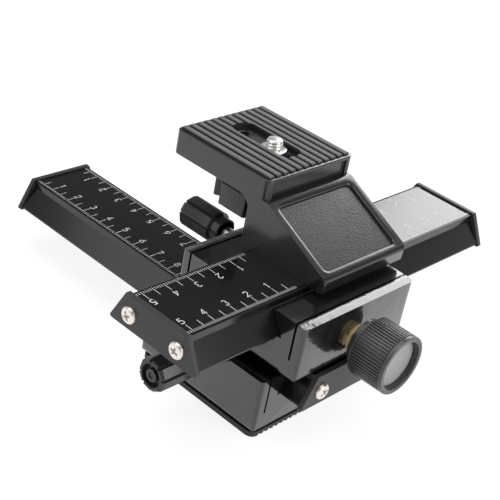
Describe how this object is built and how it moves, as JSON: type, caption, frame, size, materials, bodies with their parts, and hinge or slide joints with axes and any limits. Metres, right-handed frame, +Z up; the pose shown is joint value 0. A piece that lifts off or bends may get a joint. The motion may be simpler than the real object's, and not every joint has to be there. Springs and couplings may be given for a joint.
{
  "type": "macro focusing rail",
  "caption": "Four-way macro focusing rail: two crossed black dovetail slides with rack-and-pinion knobs, lock screws, millimetre scales and a slanted camera bracket",
  "frame": {"origin": "centre of the tripod socket, on the underside of the base pad", "axes": "+Z up, +Y along the lower rail away from the focusing-knob end, +X along the upper rail"},
  "size_m": [0.1634, 0.1806, 0.0843],
  "materials": {
    "cast_black": "gloss",
    "bracket_black": "satin",
    "rail_black": "gloss",
    "plate_black": "satin",
    "panel_grain": "grained",
    "pad_grey": "ribbed",
    "knob_grey": "ribbed",
    "cap_grey": "smooth",
    "lock_black": "satin",
    "nickel": "polished",
    "steel": "turned",
    "brass": "turned"
  },
  "bodies": {
    "base": {"lower_carriage": "cast_black", "base_pad": "pad_grey", "tripod_bush": "nickel", "lower_shaft_bush": "brass"},
    "lower_focus": {"lower_focus_knob": "knob_grey", "lower_knob_cap": "cap_grey", "lower_knob_screw": "nickel", "lower_pinion_shaft": "steel", "lower_pinion": "brass"},
    "lower_lock": {"lower_lock_knob": "lock_black", "lower_lock_screw": "steel"},
    "lower_slider": {"lower_rail": "rail_black", "lower_rack": "steel", "lower_rack_screws": "steel", "lower_near_plate": "plate_black", "lower_far_plate": "plate_black", "lower_plate_screws": "nickel", "upper_carriage": "cast_black", "upper_carriage_screws": "steel", "upper_shaft_bush": "brass"},
    "upper_focus": {"upper_focus_knob": "knob_grey", "upper_knob_cap": "cap_grey", "upper_knob_screw": "nickel", "upper_pinion_shaft": "steel", "upper_pinion": "brass"},
    "upper_lock": {"upper_lock_knob": "lock_black", "upper_lock_screw": "steel"},
    "upper_slider": {"upper_rail": "rail_black", "upper_rack": "steel", "upper_rack_screws": "steel", "upper_left_plate": "plate_black", "upper_right_plate": "plate_black", "upper_plate_screws": "nickel", "camera_bracket": "bracket_black", "bracket_screws": "steel", "panel_inlay": "panel_grain", "top_pad": "pad_grey"},
    "screw_slider": {"slot_washer": "steel"},
    "camera_screw_set": {"camera_screw": "nickel", "screw_flange": "nickel", "wing_knob": "lock_black"}
  },
  "joints": [
    {"name": "lower_slide", "type": "slide", "parent": "base", "child": "lower_slider", "axis": [0, 1, 0], "range_m": [-0.0876, 0.0092]},
    {"name": "lower_focus_turn", "type": "hinge", "parent": "base", "child": "lower_focus", "pos_m": [0.03, 0, 0.0117], "axis": [1, 0, 0], "range_deg": [-95, 885]},
    {"name": "lower_lock_turn", "type": "hinge", "parent": "base", "child": "lower_lock", "pos_m": [-0.035, 0, 0.01915], "axis": [-1, 0, 0], "range_deg": [-270, 0]},
    {"name": "upper_slide", "type": "slide", "parent": "lower_slider", "child": "upper_slider", "axis": [1, 0, 0], "range_m": [-0.0589, 0.0379]},
    {"name": "upper_focus_turn", "type": "hinge", "parent": "lower_slider", "child": "upper_focus", "pos_m": [0.0043, -0.0391, 0.0374], "axis": [0, 1, 0], "range_deg": [-597, 386]},
    {"name": "upper_lock_turn", "type": "hinge", "parent": "lower_slider", "child": "upper_lock", "pos_m": [0.0043, 0.0259, 0.04485], "axis": [0, 1, 0], "range_deg": [-270, 0]},
    {"name": "screw_slide", "type": "slide", "parent": "upper_slider", "child": "screw_slider", "axis": [0, 1, 0], "range_m": [-0.005, 0.0134]},
    {"name": "screw_turn", "type": "hinge", "parent": "screw_slider", "child": "camera_screw_set", "pos_m": [0.0148, 0.0209, 0.0734], "axis": [0, 0, 1], "continuous": true}
  ],
  "couplings": [
    {"joint": "lower_focus_turn", "follows": "lower_slide", "rad_per_m": -175.44},
    {"joint": "upper_focus_turn", "follows": "upper_slide", "rad_per_m": 175.44}
  ]
}
